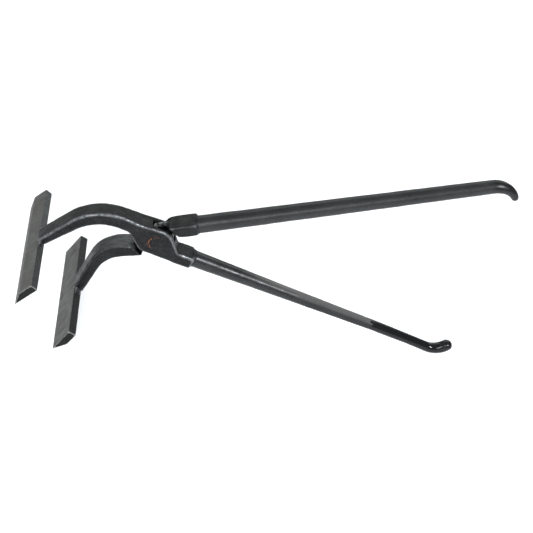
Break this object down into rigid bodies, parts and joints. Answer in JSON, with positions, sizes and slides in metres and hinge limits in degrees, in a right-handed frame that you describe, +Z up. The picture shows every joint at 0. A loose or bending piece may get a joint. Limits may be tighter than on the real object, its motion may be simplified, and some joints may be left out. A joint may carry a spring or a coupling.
{
  "type": "wide-jaw tongs",
  "caption": "Heavy forged wide-jaw tongs with a box joint, two flat jaw bars and hooked round-bar handles.",
  "frame": {"origin": "under the middle of the standing tongs, on the surface they stand on", "axes": "+X from the jaws to the handles, +Y along the pivot towards the back, +Z up"},
  "size_m": [0.469, 0.14, 0.2517],
  "materials": {
    "forged_black": "satin",
    "handle_black": "gloss",
    "jaw_grey": "matte"
  },
  "bodies": {
    "outer_lever": {"outer_jaw": "jaw_grey", "outer_jaw_weld_front": "forged_black", "outer_jaw_weld_back": "forged_black", "outer_arm": "forged_black", "lower_handle": "handle_black", "lower_handle_weld": "forged_black", "pivot_rivet": "forged_black"},
    "inner_lever": {"inner_jaw": "jaw_grey", "inner_jaw_weld_front": "forged_black", "inner_jaw_weld_back": "forged_black", "inner_arm": "forged_black", "upper_handle": "handle_black", "upper_handle_weld": "forged_black"}
  },
  "joints": [
    {"name": "pivot", "type": "hinge", "parent": "outer_lever", "child": "inner_lever", "pos_m": [-0.1049, 0, 0.11073], "axis": [0, 1, 0], "range_deg": [-16, 29]}
  ]
}
